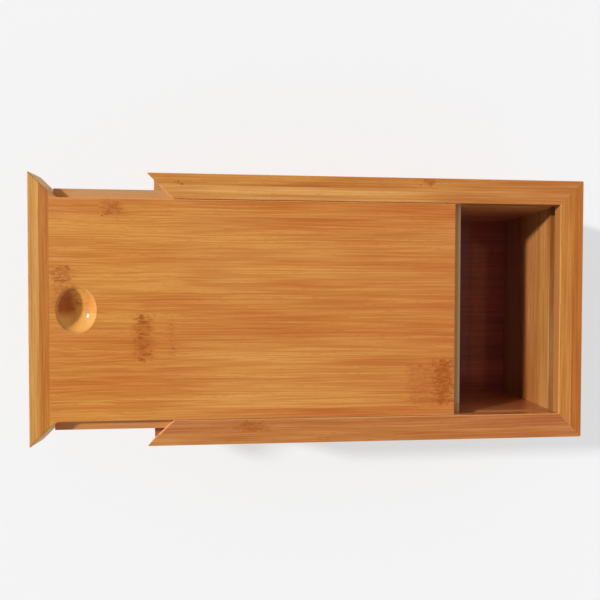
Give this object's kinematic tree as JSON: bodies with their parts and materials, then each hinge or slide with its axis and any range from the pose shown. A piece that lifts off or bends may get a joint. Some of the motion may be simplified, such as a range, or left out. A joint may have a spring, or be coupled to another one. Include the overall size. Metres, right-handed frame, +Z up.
{
  "type": "sliding lid box",
  "caption": "Small mitred wooden box with a grooved sliding lid that carries the end strip of the rim and a finger recess.",
  "frame": {"origin": "centre of the closed box's underside", "axes": "+Z up out of the box, +X along its length, away from the end where the lid is drawn out"},
  "size_m": [0.25, 0.12, 0.05],
  "materials": {
    "outer_bamboo": "satin clear varnish on honey bamboo",
    "inner_bamboo": "satin clear varnish on honey bamboo",
    "lid_bamboo": "satin clear varnish on honey bamboo",
    "floor_bamboo": "satin clear varnish on honey bamboo"
  },
  "bodies": {
    "box": {"left_outer_board": "outer_bamboo", "left_inner_board": "inner_bamboo", "left_lip": "inner_bamboo", "right_outer_board": "outer_bamboo", "right_inner_board": "inner_bamboo", "right_lip": "inner_bamboo", "rear_outer_board": "outer_bamboo", "rear_inner_board": "inner_bamboo", "rear_lip": "inner_bamboo", "front_outer_board": "outer_bamboo", "front_inner_board": "inner_bamboo", "floor_stave_1": "floor_bamboo", "floor_stave_2": "floor_bamboo", "floor_stave_3": "floor_bamboo", "floor_stave_4": "floor_bamboo", "floor_stave_5": "floor_bamboo"},
    "lid": {"strip_outer": "outer_bamboo", "strip_inner": "inner_bamboo", "lid_stave_1": "lid_bamboo", "lid_stave_2": "lid_bamboo", "lid_stave_3": "lid_bamboo", "lid_stave_4": "lid_bamboo", "lid_stave_5": "lid_bamboo", "lid_stave_6": "lid_bamboo"}
  },
  "joints": [
    {"name": "lid_slide", "type": "slide", "parent": "box", "child": "lid", "axis": [-1, 0, 0], "range_m": [-0.05, 0.15]}
  ]
}
